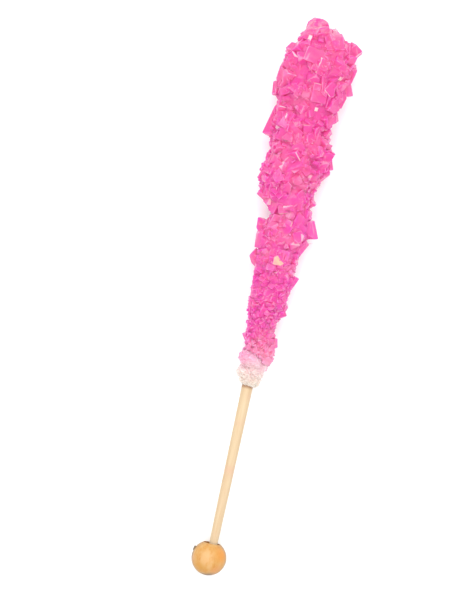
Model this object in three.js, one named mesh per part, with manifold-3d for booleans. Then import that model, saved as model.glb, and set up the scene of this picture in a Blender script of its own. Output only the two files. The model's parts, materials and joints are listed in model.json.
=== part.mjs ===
// A rock candy stick: coarse sugar crystals grown thick on a wooden stick, a collar of fine undyed
// sugar at their foot, and a turned wooden ball on the stick's other end. It lies on a table, held
// up by the ball and by the lowest crystals.
// Sizes are in millimetres with +Z up. In the stick's own frame X is across the stick, Z is up and
// Y runs along it, from near the ball's centre to the tip of the candy.
import * as THREE from "three";
import { mergeVertices } from "three/addons/utils/BufferGeometryUtils.js";
import Module from "manifold-3d";

const wasm = await Module();
wasm.setup();

// Driving sizes
const BALL_DIAMETER = 10.9;
const BALL_OFF_CENTRE = -0.4; // the hole is drilled a little to one side of the ball's middle
const BALL_CENTRE_ALONG = -0.28; // where the ball's middle lies along the stick
const BALL_LAND_RADIUS = 2.7; // the flat that the drill starts on
const STICK_IN_BALL = 3.2; // how far the stick's foot lies below the ball's land
const STICK_END = 157; // the stick's far end, inside the candy
const STICK_EDGE = 0.3; // the bevel round each of its ends
const SOCKET_GAP = 0.25;
const REST_TILT = THREE.MathUtils.degToRad(1.9); // the stick climbs from the ball to the thick candy
const BALL_FLAT_DEPTH = 0.1; // the worn spot that the ball rests on
const DISH = { depth: 0.9, floorRadius: 2, radius: 2.5 }; // the shallow dish that the drill left
const COLLAR_TILT = 0.12; // how much further up the stick its left side lies, a millimetre across
const GRAIN_HEIGHT = 0.6; // of the collar's fine grains
const COLLAR_GAP = 0.3;
const CRYSTAL_SEED = 2027;
const CORE_SEED = 77;
const GRAIN_SEED = 431;

// The stick thickens from the ball to the sugar: distance along it, and its radius there.
const STICK_GIRTH = [
  [5, 1.35],
  [20, 1.53],
  [55, 1.75],
];

// The lumps of the collar: distance along the stick, across it and above it, half length, and half
// width.
const COLLAR_LUMPS = [
  [57.2, 0.1, 0, 2.6, 3.4],
  [59.2, 0, 0, 3.4, 3.8],
  [62.3, -0.8, 1.1, 3.3, 3.5],
  [61.0, 1.6, 0.6, 2.8, 2.3],
];

// The mass of smaller crystals that shows between the large ones: how much of the girth it fills,
// its least radius, the height of its bumps, and how far short of the tip it ends.
const CORE = { share: 0.84, leastRadius: 1.2, bumps: 1.1, short: 1.5 };

// The candy's girth: distance along the stick, outer radius, and how far its middle leans across.
const GIRTH = [
  [61.5, 3.2, 1.6],
  [65.5, 4.6, 1.2],
  [75, 4.3, 0.2],
  [81, 5.6, 0.7],
  [88, 5.6, 0.7],
  [98, 6.2, 0.3],
  [104, 7.5, 1.0],
  [109, 6.1, 1.9],
  [116, 8.2, -0.8],
  [121, 9.4, -1.2],
  [128, 9.8, 1.0],
  [137, 9.4, -0.9],
  [143, 9.1, -0.2],
  [150, 10.8, -0.2],
  [158, 11.0, 0.7],
  [162.5, 8.8, 1.6],
  [166, 6.0, -0.8],
  [169, 3.4, -2.0],
  [171.5, 1.8, -2.6],
];
const CRYSTAL_SIZES = { foot: 3.1, tip: 5.6 };
const CRYSTAL_SLANT = THREE.MathUtils.degToRad(13); // how far a crystal leans out of square
const CUT_EDGE = 0.28; // how much of a crystal's breadth is cut off its sharp edges

// How the scattered crystals stand, as shares of the mean size at their place.
const SCATTER = {
  rowGap: 0.94,
  gapInRow: 1.08,
  slipInRow: 0.5,
  slipAlong: 0.6,
  sizes: [0.72, 1.22],
  stretches: [1, 1.45],
  breadth: 0.88,
  thickness: 0.72,
  sunk: 0.46, // how much of its length lies inside the girth
  tumble: 1.7, // how wildly it points, 0 being straight out
  rowTurn: 2.4, // radians from one row's first crystal to the next row's
  tipStart: 163.5, // from here on they are smaller
  tipShrink: 0.6,
};
const [CANDY_START] = GIRTH[0];
const [CANDY_END] = GIRTH[GIRTH.length - 1];

// The large crystals that stand out of the outline: distance along the stick, distance across it,
// length, breadth, and heading in degrees from the stick's own direction towards +X.
const LANDMARKS = [
  [63.8, 4.5, 2.4, 2.2, -20],
  [66.8, 5.1, 2.6, 2.2, 10],
  [69.8, 5.4, 2.8, 2.4, -15],
  [70.0, -2.9, 3.2, 2.6, -30],
  [78.8, 4.8, 4.0, 3.0, 60],
  [80.0, -3.9, 4.6, 2.6, -8],
  [89.5, 6.0, 4.4, 3.2, 15],
  [94.5, -5.6, 4.4, 3.8, -62],
  [101.2, -5.2, 5.6, 4.4, -12],
  [101.2, 6.4, 5.2, 3.8, 35],
  [104.6, -5.4, 4.6, 4.2, 8],
  [106.5, 8.4, 5.8, 4.6, -14],
  [114.5, -6.6, 4.6, 4.0, -50],
  [114.5, 6.3, 4.0, 3.4, 40],
  [117.2, -6.0, 5.6, 5.2, -38],
  [119.8, 6.4, 4.8, 3.8, 30],
  [122.4, -5.6, 5.8, 4.8, 62],
  [124.6, 8.4, 4.8, 4.2, 50],
  [128.8, 8.6, 6.0, 4.6, -10],
  [130.2, 9.0, 4.0, 3.4, 24],
  [137.8, -9.0, 10.5, 3.4, 10],
  [142.4, 7.9, 4.2, 3.4, -30],
  [147.6, -10.6, 4.4, 3.0, -12],
  [148.4, 8.8, 4.6, 3.6, 22],
  [151.7, 10.0, 4.6, 3.6, -14],
  [155.6, -8.9, 4.6, 4.0, 22],
  [156.2, 10.2, 5.4, 4.4, 12],
  [158.6, -7.6, 5.2, 4.4, -30],
  [162.9, 9.3, 6.0, 5.0, 30],
  [164.2, -4.6, 5.4, 3.6, 44],
  [168.0, -2.3, 6.4, 5.8, 14],
];

// Park and Miller's generator, so that every run draws the same crystals.
function makeDraw(seed) {
  let state = seed;
  return () => (state = (state * 16807) % 2147483647) / 2147483647;
}

function solidOf(geometry) {
  const bare = geometry.clone();
  bare.deleteAttribute("normal");
  bare.deleteAttribute("uv");
  const merged = mergeVertices(bare, 1e-4);
  return new wasm.Manifold(
    new wasm.Mesh({
      numProp: 3,
      vertProperties: merged.getAttribute("position").array,
      triVerts: new Uint32Array(merged.index.array),
    }),
  );
}

// The outer skin of a solid as a geometry. Hollows that its pieces seal inside it are left out.
function geometryOf(solid) {
  const { vertProperties, triVerts } = solid.getMesh();
  const owner = Array.from({ length: vertProperties.length / 3 }, (_, vertex) => vertex);
  const ownerOf = (vertex) => {
    while (owner[vertex] !== vertex) vertex = owner[vertex] = owner[owner[vertex]];
    return vertex;
  };
  for (let t = 0; t < triVerts.length; t += 3) {
    owner[ownerOf(triVerts[t])] = ownerOf(triVerts[t + 1]);
    owner[ownerOf(triVerts[t + 2])] = ownerOf(triVerts[t + 1]);
  }
  const skins = new Map();
  for (let t = 0; t < triVerts.length; t += 3) {
    const skin = ownerOf(triVerts[t]);
    if (!skins.has(skin)) skins.set(skin, []);
    skins.get(skin).push(...triVerts.subarray(t, t + 3));
  }
  const outer = [...skins.values()].reduce((a, b) => (b.length > a.length ? b : a));
  const geometry = new THREE.BufferGeometry();
  geometry.setAttribute("position", new THREE.BufferAttribute(vertProperties, 3));
  geometry.setIndex(outer);
  geometry.computeVertexNormals();
  return geometry;
}

// The girth between two stations, eased so that it swells and narrows smoothly.
function girthAt(along) {
  const next = GIRTH.findIndex(([station]) => station > along);
  if (next <= 0) {
    const [, radius, lean] = next === 0 ? GIRTH[0] : GIRTH[GIRTH.length - 1];
    return { radius, lean, slope: 0 };
  }
  const [y0, r0, l0] = GIRTH[next - 1];
  const [y1, r1, l1] = GIRTH[next];
  const t = (along - y0) / (y1 - y0);
  const eased = t * t * (3 - 2 * t);
  return {
    radius: r0 + (r1 - r0) * eased,
    lean: l0 + (l1 - l0) * eased,
    slope: (r1 - r0) / (y1 - y0),
  };
}

// A sugar crystal of unit size: a slanted block, with two opposite edges cut off by the given width.
function unitCrystal(cut) {
  const half = 0.5;
  const outline = [
    [-half, -half],
    [half - cut, -half],
    [half, cut - half],
    [half, half],
    [cut - half, half],
    [-half, half - cut],
  ];
  const corners = cut > 0 ? outline : [outline[0], outline[1], outline[3], outline[4]];
  const section = new THREE.Shape(corners.map(([x, y]) => new THREE.Vector2(x, y)));
  return new THREE.ExtrudeGeometry(section, { depth: 1, bevelEnabled: false })
    .translate(0, 0, -half)
    .applyMatrix4(new THREE.Matrix4().makeShear(0, 0, 0, 0, Math.tan(CRYSTAL_SLANT), 0));
}
const BLOCK = unitCrystal(0);
const CUT_BLOCK = unitCrystal(CUT_EDGE);

// One crystal: its shape, its middle, the direction it points in, its roll, and its three sizes.
function crystal({ shape, middle, pointing, roll, sizes }) {
  const upright = new THREE.Vector3(0, 0, 1);
  const turn = new THREE.Quaternion()
    .setFromUnitVectors(upright, pointing)
    .multiply(new THREE.Quaternion().setFromAxisAngle(upright, roll));
  return shape.clone().applyMatrix4(new THREE.Matrix4().compose(middle, turn, sizes));
}

// Rows of crystals round the stick, larger towards the tip, each turned its own way.
function scatteredCrystals() {
  const draw = makeDraw(CRYSTAL_SEED);
  const drawBetween = ([low, high]) => low + (high - low) * draw();
  const placed = [];
  let along = CANDY_START;
  let rowTurn = 0;
  while (along < CANDY_END - CRYSTAL_SIZES.tip) {
    const share = (along - CANDY_START) / (CANDY_END - CANDY_START);
    const size = THREE.MathUtils.lerp(CRYSTAL_SIZES.foot, CRYSTAL_SIZES.tip, share);
    const ring = Math.max(girthAt(along).radius - SCATTER.sunk * size, 1);
    const count = Math.max(3, Math.round((2 * Math.PI * ring) / (SCATTER.gapInRow * size)));
    for (let i = 0; i < count; i++) {
      const slip = SCATTER.slipInRow * (draw() - 0.5);
      const angle = rowTurn + ((i + slip) / count) * 2 * Math.PI;
      const at = along + SCATTER.slipAlong * size * (draw() - 0.5);
      const breadth = size * drawBetween(SCATTER.sizes);
      const length = breadth * drawBetween(SCATTER.stretches);
      const wander = new THREE.Vector3(draw() - 0.5, draw() - 0.5, draw() - 0.5);
      const { radius, lean, slope } = girthAt(at);
      const reach = Math.max(radius - SCATTER.sunk * length, 0.4);
      const shrink = at > SCATTER.tipStart ? SCATTER.tipShrink : 1;
      placed.push({
        shape: BLOCK,
        middle: new THREE.Vector3(lean + reach * Math.cos(angle), at, reach * Math.sin(angle)),
        pointing: new THREE.Vector3(Math.cos(angle), -slope, Math.sin(angle))
          .normalize()
          .addScaledVector(wander, SCATTER.tumble)
          .normalize(),
        roll: 2 * Math.PI * draw(),
        sizes: new THREE.Vector3(
          breadth * SCATTER.breadth,
          breadth * SCATTER.thickness,
          length,
        ).multiplyScalar(shrink),
      });
    }
    along += SCATTER.rowGap * size;
    rowTurn += SCATTER.rowTurn;
  }
  return placed;
}

// The landmarks, each rolled and raised differently so that no two show the same face.
function landmarkCrystals() {
  return LANDMARKS.map(([along, across, length, breadth, heading], index) => {
    const angle = THREE.MathUtils.degToRad(heading);
    const rise = 0.25 * Math.cos(index * 2.4);
    return {
      shape: CUT_BLOCK,
      middle: new THREE.Vector3(across, along, Math.sin(index * 1.7)),
      pointing: new THREE.Vector3(Math.sin(angle), Math.cos(angle), rise).normalize(),
      roll: index * 0.9,
      sizes: new THREE.Vector3(breadth, breadth * 0.85, length),
    };
  });
}

// A round body along the stick from [along, radius] pairs, which start and end on its axis.
function turned(profile, segments) {
  return new THREE.LatheGeometry(
    profile.map(([along, radius]) => new THREE.Vector2(radius, along)),
    segments,
  );
}

// A turned body whose surface is thrown out and in at random into bumps of the given height.
function bumpy(profile, segments, height, draw) {
  const body = turned(profile, segments);
  const bare = mergeVertices(body.deleteAttribute("normal").deleteAttribute("uv"), 1e-4);
  const at = bare.getAttribute("position");
  for (let i = 0; i < at.count; i++) {
    const radius = Math.hypot(at.getX(i), at.getZ(i));
    const bump = radius > 0 ? 1 + (height * (draw() - 0.5)) / radius : 1;
    at.setXYZ(i, at.getX(i) * bump, at.getY(i) + 0.5 * height * (draw() - 0.5), at.getZ(i) * bump);
  }
  return bare;
}

function candyCore() {
  const rings = 18;
  const end = CANDY_END - CORE.short;
  const profile = [[CANDY_START, 0]];
  for (let i = 0; i <= rings; i++) {
    const along = THREE.MathUtils.lerp(CANDY_START, end, i / rings);
    profile.push([along, Math.max(CORE.share * girthAt(along).radius, CORE.leastRadius)]);
  }
  profile.push([end + CORE.short / 3, 0]);
  return bumpy(profile, 9, CORE.bumps, makeDraw(CORE_SEED));
}

// One lump of the collar, grown all round, with its surface thrown out and in at random.
function collarLump([along, across, up, halfLength, halfWidth], grown, draw) {
  const smooth = new THREE.IcosahedronGeometry(1, 4);
  const bare = mergeVertices(smooth.deleteAttribute("normal").deleteAttribute("uv"), 1e-4);
  const at = bare.getAttribute("position");
  for (let i = 0; i < at.count; i++) {
    const out = grown + GRAIN_HEIGHT * (draw() - 0.5);
    const x = at.getX(i) * (halfWidth + out);
    const y = at.getY(i) * (halfLength + out) - COLLAR_TILT * x;
    at.setXYZ(i, across + x, along + y, up + at.getZ(i) * (halfWidth + out));
  }
  return solidOf(bare);
}

// The collar of fine sugar. Grown by a gap, it also cuts the room that it takes in the candy.
function collarSolid(grown) {
  const draw = makeDraw(GRAIN_SEED);
  return wasm.Manifold.union(COLLAR_LUMPS.map((lump) => collarLump(lump, grown, draw)));
}

// The stick, grown all round by the gap that its socket keeps.
function stickSolid(grown) {
  const foot = ballLandAlong() - STICK_IN_BALL - grown;
  const end = STICK_END + grown;
  const sides = STICK_GIRTH.map(([along, radius]) => [along, radius + grown]);
  const [, thin] = sides[0];
  const [, thick] = sides[sides.length - 1];
  return solidOf(
    turned(
      [
        [foot, 0],
        [foot, thin - STICK_EDGE],
        [foot + STICK_EDGE, thin],
        ...sides,
        [end - STICK_EDGE, thick],
        [end, thick - STICK_EDGE],
        [end, 0],
      ],
      20,
    ),
  );
}

function ballLandAlong() {
  return BALL_CENTRE_ALONG + Math.sqrt((BALL_DIAMETER / 2) ** 2 - BALL_LAND_RADIUS ** 2);
}

// A turned ball with a flat land on top, where the hole for the stick opens in a shallow dish.
function ballSolid() {
  const radius = BALL_DIAMETER / 2;
  const landAngle = Math.asin(BALL_LAND_RADIUS / radius);
  const steps = 15;
  const profile = [];
  for (let i = 0; i <= steps; i++) {
    const angle = Math.PI - (i / steps) * (Math.PI - landAngle);
    const along = BALL_CENTRE_ALONG + radius * Math.cos(angle);
    profile.push([along, i === 0 ? 0 : radius * Math.sin(angle)]);
  }
  profile.push([ballLandAlong(), 0]);
  const [floor, rim] = [ballLandAlong() - DISH.depth, ballLandAlong() + 0.2];
  const dish = turned(
    [
      [floor, 0],
      [floor, DISH.floorRadius],
      [rim, DISH.radius],
      [rim, 0],
    ],
    24,
  );
  return solidOf(turned(profile, 32))
    .subtract(solidOf(dish))
    .translate([BALL_OFF_CENTRE, 0, 0])
    .subtract(stickSolid(SOCKET_GAP));
}

// The table's top in the stick's own frame, as a slab that trims what would sink into it.
function tableSlab(stickToTable) {
  const [wide, deep] = [400, 40];
  return solidOf(
    new THREE.BoxGeometry(wide, wide, deep)
      .translate(0, 0, -deep / 2)
      .applyMatrix4(stickToTable.clone().invert()),
  );
}

function candySolid() {
  const pieces = [...scatteredCrystals(), ...landmarkCrystals()].map(crystal);
  return wasm.Manifold.union([candyCore(), ...pieces].map(solidOf))
    .subtract(stickSolid(SOCKET_GAP))
    .subtract(collarSolid(COLLAR_GAP));
}

function part(name, solid, look) {
  const mesh = new THREE.Mesh(geometryOf(solid), new THREE.MeshStandardMaterial(look));
  mesh.name = name;
  return mesh;
}

const rockCandyStick = new THREE.Group();
rockCandyStick.rotation.x = REST_TILT;
rockCandyStick.position.z = BALL_DIAMETER / 2 - BALL_FLAT_DEPTH;
rockCandyStick.updateMatrix();

const table = tableSlab(rockCandyStick.matrix);
const candy = candySolid().subtract(table);
const collar = collarSolid(0).subtract(stickSolid(SOCKET_GAP));
const ball = ballSolid().subtract(table);

rockCandyStick.add(
  part("crystal_candy", candy, { color: "#f8599f", roughness: 0.18 }),
  part("sugar_collar", collar, { color: "#f9d3d6", roughness: 0.6 }),
  part("wood_stick", stickSolid(0), { color: "#f1d6a8", roughness: 0.7 }),
  part("wood_ball", ball, { color: "#e9ae66", roughness: 0.45 }),
);

// The origin is the middle of the underside of the box round the whole.
const middle = new THREE.Box3().setFromObject(rockCandyStick, true).getCenter(new THREE.Vector3());
rockCandyStick.position.x -= middle.x;
rockCandyStick.position.y -= middle.y;

export default rockCandyStick;
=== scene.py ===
# %% [markdown]
# # A rock candy stick
#
# Sugar crystals grow on a wooden stick that hangs for a week in coloured syrup. The ones near the
# tip have the most room and grow coarse, the ones at the foot stay small, and the very first sugar,
# dusted on dry, stays pale. A turned wooden ball on the other end is the grip.
#
# The solid model gives the right places and sizes. This script makes the surface that the eye sees:
# sharp small crystals between the large ones, sparkling grains, and the grain of the wood.

# %% Load the solid model
import json
import math
import bmesh
import bpy
import numpy as np
from mathutils import Matrix, Quaternion, Vector
from mathutils import noise as perlin
from mathutils.bvhtree import BVHTree

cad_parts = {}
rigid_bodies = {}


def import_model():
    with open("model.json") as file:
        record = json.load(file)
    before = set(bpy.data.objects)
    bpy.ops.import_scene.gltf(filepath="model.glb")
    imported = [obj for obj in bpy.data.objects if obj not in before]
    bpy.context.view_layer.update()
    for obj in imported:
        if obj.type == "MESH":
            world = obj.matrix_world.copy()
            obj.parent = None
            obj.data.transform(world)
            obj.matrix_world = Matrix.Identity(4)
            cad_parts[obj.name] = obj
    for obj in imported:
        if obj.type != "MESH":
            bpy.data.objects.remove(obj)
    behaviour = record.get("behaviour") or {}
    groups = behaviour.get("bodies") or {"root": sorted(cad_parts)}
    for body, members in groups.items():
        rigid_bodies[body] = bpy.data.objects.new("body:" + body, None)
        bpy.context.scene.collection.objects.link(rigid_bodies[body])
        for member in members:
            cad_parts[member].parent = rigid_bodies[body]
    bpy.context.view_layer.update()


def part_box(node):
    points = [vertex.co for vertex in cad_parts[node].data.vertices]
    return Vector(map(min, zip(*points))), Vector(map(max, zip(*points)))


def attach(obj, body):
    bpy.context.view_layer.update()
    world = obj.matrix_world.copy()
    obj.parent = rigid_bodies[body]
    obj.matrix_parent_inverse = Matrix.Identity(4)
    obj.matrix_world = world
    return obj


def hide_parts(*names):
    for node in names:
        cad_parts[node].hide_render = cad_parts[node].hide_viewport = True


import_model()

# %% [markdown]
# ## Where the stick lies
#
# It's easiest to model along the stick, in millimetres, with Y running from the ball's centre to the
# tip, and to set each finished piece down on the table at the end. The ball is small and the candy
# is thick, so the stick climbs a little from one to the other.

# %% From the stick to the table
REST_TILT = math.radians(1.9)
BALL_RADIUS = 5.45
BALL_CENTRE_ALONG = -0.28
BALL_FLAT_DEPTH = 0.1
stick_low, stick_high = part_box("wood_stick")
ball_low, ball_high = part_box("wood_ball")
stick_to_table = Matrix.Translation((
    500 * (stick_low.x + stick_high.x),
    1000 * ball_low.y + BALL_RADIUS - BALL_CENTRE_ALONG,
    BALL_RADIUS - BALL_FLAT_DEPTH,
)) @ Matrix.Rotation(REST_TILT, 4, "X")
MM = Matrix.Scale(0.001, 4)


def set_down(piece, node):
    """Puts a piece that was modelled along the stick, in mm, on the table in place of a node."""
    piece.data.transform(MM @ stick_to_table)
    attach(piece, "root")
    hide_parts(node)
    low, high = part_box(node)
    made = np.array([v.co for v in piece.data.vertices])
    print(piece.name, len(piece.data.polygons), "faces, mm",
          (1000 * made.min(0)).round(1), (1000 * made.max(0)).round(1),
          "solid", [round(1000 * c, 1) for c in low], [round(1000 * c, 1) for c in high])


# %% [markdown]
# ## The girth
#
# The candy isn't a plain cone: it swells, narrows and leans from side to side. A few stations along
# the stick say how thick it is there and how far its middle leans across. Between two stations the
# radius is eased, so no crease shows.

# %% Stations along the candy
GIRTH = [
    (61.5, 3.2, 1.6),
    (65.5, 4.6, 1.2),
    (75, 4.3, 0.2),
    (81, 5.6, 0.7),
    (88, 5.6, 0.7),
    (98, 6.2, 0.3),
    (104, 7.5, 1.0),
    (109, 6.1, 1.9),
    (116, 8.2, -0.8),
    (121, 9.4, -1.2),
    (128, 9.8, 1.0),
    (137, 9.4, -0.9),
    (143, 9.1, -0.2),
    (150, 10.8, -0.2),
    (158, 11.0, 0.7),
    (162.5, 8.8, 1.6),
    (166, 6.0, -0.8),
    (169, 3.4, -2.0),
    (171.5, 1.8, -2.6),
]
CANDY_START = GIRTH[0][0]
CANDY_END = GIRTH[-1][0]


def girth_at(along):
    """Radius, sideways lean and slope of the candy at a distance along the stick."""
    if along < CANDY_START or along >= CANDY_END:
        _, radius, lean = GIRTH[0] if along < CANDY_START else GIRTH[-1]
        return radius, lean, 0.0
    following = next(i for i, station in enumerate(GIRTH) if station[0] > along)
    (y0, r0, l0), (y1, r1, l1) = GIRTH[following - 1], GIRTH[following]
    t = (along - y0) / (y1 - y0)
    eased = t * t * (3 - 2 * t)
    return r0 + (r1 - r0) * eased, l0 + (l1 - l0) * eased, (r1 - r0) / (y1 - y0)


print("girth at the middle:", girth_at(120))

# %% [markdown]
# ## One crystal
#
# Sugar grows as slanted blocks with flat faces and sharp corners, and the larger ones often have two
# of their long edges cut off. A unit cube, sheared and scaled, gives the block, and a wide bevel on
# two edges gives the cut one. A second, very fine bevel on every edge catches the light as the real
# edges do: a perfectly sharp edge never shines.

# %% A block of sugar
CRYSTAL_SLANT = math.radians(13)
CUT_EDGE = 0.28
EDGE_WIDTH = 0.2
upright = Vector((0, 0, 1))
slanted = Matrix.Identity(4)
slanted[0][2] = math.tan(CRYSTAL_SLANT)


def cut_corner(shape, corner, depth):
    """Slices one corner off a crystal and closes the cut with a flat face."""
    middle = sum((v.co for v in shape.verts), Vector()) / len(shape.verts)
    outward = (corner - middle).normalized()
    everything = list(shape.verts) + list(shape.edges) + list(shape.faces)
    sliced = bmesh.ops.bisect_plane(shape, geom=everything, dist=1e-5, clear_outer=True,
                                    plane_co=corner - outward * depth, plane_no=outward)
    rim = [e for e in sliced["geom_cut"] if isinstance(e, bmesh.types.BMEdge)]
    bmesh.ops.contextual_create(shape, geom=rim)


def grow_crystal(middle, pointing, roll, sizes, cut=False, corners=(), edge_width=EDGE_WIDTH):
    """A bmesh of one crystal in its place along the stick."""
    block = bmesh.new()
    bmesh.ops.create_cube(block, size=1)
    if cut:
        long_edges = [
            e for e in block.edges
            if (e.verts[0].co - e.verts[1].co).z and e.verts[0].co.x * e.verts[0].co.y < 0
        ]
        bmesh.ops.bevel(block, geom=long_edges, offset=CUT_EDGE, offset_type="OFFSET",
                        segments=1, profile=0.5, affect="EDGES", material=-1)
    turn = upright.rotation_difference(pointing) @ Quaternion(upright, roll)
    place = Matrix.LocRotScale(middle, turn, sizes) @ slanted
    bmesh.ops.transform(block, matrix=place, verts=block.verts)
    for corner_turn, depth in corners:
        towards = Vector((math.cos(corner_turn), math.sin(corner_turn), math.sin(3 * corner_turn)))
        corner = max((v.co.copy() for v in block.verts), key=lambda c: (c - middle).dot(towards))
        cut_corner(block, corner, depth)
    if edge_width:
        # The fine bevel's faces are marked; the material paints some of them pale as highlights.
        edge_mark = block.faces.layers.float.new("edge")
        edge_highlight = bmesh.ops.bevel(block, geom=list(block.edges), offset=edge_width, offset_type="OFFSET",
                               segments=1, profile=0.5, affect="EDGES", material=-1)
        for face in edge_highlight["faces"]:
            face[edge_mark] = 1.0
    return block


trial = grow_crystal(Vector((0, 0, 0)), Vector((0, 1, 0)), 0.3, Vector((4, 3, 5)), cut=True)
print("a cut crystal has", len(trial.faces), "faces and", round(trial.calc_volume(), 1), "mm3")
trial.free()

# %% [markdown]
# ## The large crystals
#
# These repeat the solid model's crystals one for one, so that the outline stays as it was. The same
# simple generator, started from the same seed, draws the same numbers in the same order.

# %% Rows of scattered crystals
CRYSTAL_SEED = 2027
CRYSTAL_SIZES = (3.1, 5.6)
ROW_GAP, GAP_IN_ROW, SLIP_IN_ROW, SLIP_ALONG = 0.94, 1.08, 0.5, 0.6
SIZE_SPREAD, STRETCH_SPREAD = (0.72, 1.22), (1, 1.45)
BREADTH, THICKNESS, SUNK, TUMBLE, ROW_TURN = 0.88, 0.72, 0.46, 1.7, 2.4
LEAST_RING, LEAST_IN_ROW, LEAST_REACH = 1, 3, 0.4
DRAW_FACTOR, DRAW_PRIME = 16807, 2147483647


def make_draw(seed):
    """A generator of numbers from 0 to 1 that repeats itself from the same seed."""
    state = seed

    def draw():
        nonlocal state
        state = state * DRAW_FACTOR % DRAW_PRIME
        return state / DRAW_PRIME

    return draw


def scattered_crystals():
    """Places of the rows of crystals, from the foot to the tip."""
    draw = make_draw(CRYSTAL_SEED)
    placed = []
    along, row_turn = CANDY_START, 0.0
    while along < CANDY_END - CRYSTAL_SIZES[1]:
        share = (along - CANDY_START) / (CANDY_END - CANDY_START)
        size = CRYSTAL_SIZES[0] + (CRYSTAL_SIZES[1] - CRYSTAL_SIZES[0]) * share
        ring = max(girth_at(along)[0] - SUNK * size, LEAST_RING)
        count = max(LEAST_IN_ROW, math.floor(2 * math.pi * ring / (GAP_IN_ROW * size) + 0.5))
        for i in range(count):
            slip = SLIP_IN_ROW * (draw() - 0.5)
            angle = row_turn + (i + slip) / count * 2 * math.pi
            at = along + SLIP_ALONG * size * (draw() - 0.5)
            breadth = size * (SIZE_SPREAD[0] + (SIZE_SPREAD[1] - SIZE_SPREAD[0]) * draw())
            length = breadth * (STRETCH_SPREAD[0] + (STRETCH_SPREAD[1] - STRETCH_SPREAD[0]) * draw())
            wander = Vector((draw() - 0.5, draw() - 0.5, draw() - 0.5))
            radius, lean, slope = girth_at(at)
            reach = max(radius - SUNK * length, LEAST_REACH)
            outward = Vector((math.cos(angle), -slope, math.sin(angle))).normalized()
            placed.append(dict(
                middle=Vector((lean + reach * math.cos(angle), at, reach * math.sin(angle))),
                pointing=(outward + wander * TUMBLE).normalized(),
                roll=2 * math.pi * draw(),
                sizes=Vector((breadth * BREADTH, breadth * THICKNESS, length)),
            ))
        along += ROW_GAP * size
        row_turn += ROW_TURN
    return placed


large_crystals = scattered_crystals()
print(len(large_crystals), "scattered crystals")

# %% [markdown]
# The crystals that give the outline its corners are set one by one: distance along the stick,
# distance across, length, breadth, and heading in degrees from the stick's direction. One more stands
# upright on the shown side, for its broad face, which gets a painted pale reflection.

# %% Crystals that stand out of the outline
LANDMARK_TURNS = (1.7, 2.4, 0.9)
LANDMARK_TILT, LANDMARK_THICKNESS = 0.25, 0.85
LANDMARKS = [
    (63.8, 4.5, 2.4, 2.2, -20),
    (66.8, 5.1, 2.6, 2.2, 10),
    (69.8, 5.4, 2.8, 2.4, -15),
    (70.0, -2.9, 3.2, 2.6, -30),
    (78.8, 4.8, 4.0, 3.0, 60),
    (80.0, -3.9, 4.6, 2.6, -8),
    (89.5, 6.0, 4.4, 3.2, 15),
    (94.5, -5.6, 4.4, 3.8, -62),
    (101.2, -5.2, 5.6, 4.4, -12),
    (101.2, 6.4, 5.2, 3.8, 35),
    (104.6, -5.4, 4.6, 4.2, 8),
    (106.5, 8.4, 5.8, 4.6, -14),
    (114.5, -6.6, 4.6, 4.0, -50),
    (114.5, 6.3, 4.0, 3.4, 40),
    (117.2, -6.0, 5.6, 5.2, -38),
    (119.8, 6.4, 4.8, 3.8, 30),
    (122.4, -5.6, 5.8, 4.8, 62),
    (124.6, 8.4, 4.8, 4.2, 50),
    (128.8, 8.6, 6.0, 4.6, -10),
    (130.2, 9.0, 4.0, 3.4, 24),
    (137.8, -9.0, 10.5, 3.4, 10),
    (142.4, 7.9, 4.2, 3.4, -30),
    (147.6, -10.6, 4.4, 3.0, -12),
    (148.4, 8.8, 4.6, 3.6, 22),
    (151.7, 10.0, 4.6, 3.6, -14),
    (155.6, -8.9, 4.6, 4.0, 22),
    (156.2, 10.2, 5.4, 4.4, 12),
    (158.6, -7.6, 5.2, 4.4, -30),
    (162.9, 9.3, 6.0, 5.0, 30),
    (164.2, -4.6, 5.4, 3.6, 44),
    (168.0, -2.3, 6.4, 5.8, 14),
]
PALE_SPOT, PALE_HEIGHT = Vector((0.65, 95.6)), 5.1
PALE_POINTING, PALE_SIZES = Vector((0.1, -0.15, 1)).normalized(), Vector((3.7, 3.3, 3.4))
rise_turn, tilt_turn, roll_turn = LANDMARK_TURNS
for index, (along, across, length, breadth, heading) in enumerate(LANDMARKS):
    turned = math.radians(heading)
    tilt = LANDMARK_TILT * math.cos(index * tilt_turn)
    large_crystals.append(dict(
        middle=Vector((across, along, math.sin(index * rise_turn))),
        pointing=Vector((math.sin(turned), math.cos(turned), tilt)).normalized(),
        roll=index * roll_turn,
        sizes=Vector((breadth, breadth * LANDMARK_THICKNESS, length)),
        cut=True,
    ))
large_crystals.append(dict(
    middle=Vector((*PALE_SPOT, PALE_HEIGHT)),
    pointing=PALE_POINTING,
    roll=0.0,
    sizes=PALE_SIZES,
    cut=True,
))
print(len(large_crystals), "large crystals")

# %% [markdown]
# No two real crystals are alike, so some corners of each large one are sliced off at random. A slice
# only takes sugar away, and the crystal stays inside the solid model's one.

# %% Random corners to slice off
CORNER_SEED = 64
CORNERS_EACH, CORNERS_OF_CUT, CORNERS_OF_TIP = 7, 1, 12
CORNER_DEPTH = (0.08, 0.42)
TIP_START, TIP_SHRINK = 163.5, 0.6
draw_corner = make_draw(CORNER_SEED)
for crystal in large_crystals:
    if crystal["middle"].y > TIP_START and "cut" not in crystal:
        crystal["sizes"] *= TIP_SHRINK
    least = min(crystal["sizes"])
    crystal["corners"] = [
        (2 * math.pi * draw_corner(),
         least * (CORNER_DEPTH[0] + (CORNER_DEPTH[1] - CORNER_DEPTH[0]) * draw_corner()))
        for _ in range(CORNERS_OF_CUT if "cut" in crystal else CORNERS_EACH)
    ]
tip_crystal = max(large_crystals, key=lambda crystal: crystal["middle"].y)
tip_crystal["corners"] = [
    (2 * math.pi * draw_corner(), min(tip_crystal["sizes"]) * CORNER_DEPTH[0] * (1 + draw_corner()))
    for _ in range(CORNERS_OF_TIP)
]
print(sum(len(crystal["corners"]) for crystal in large_crystals), "corners to slice off")
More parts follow.
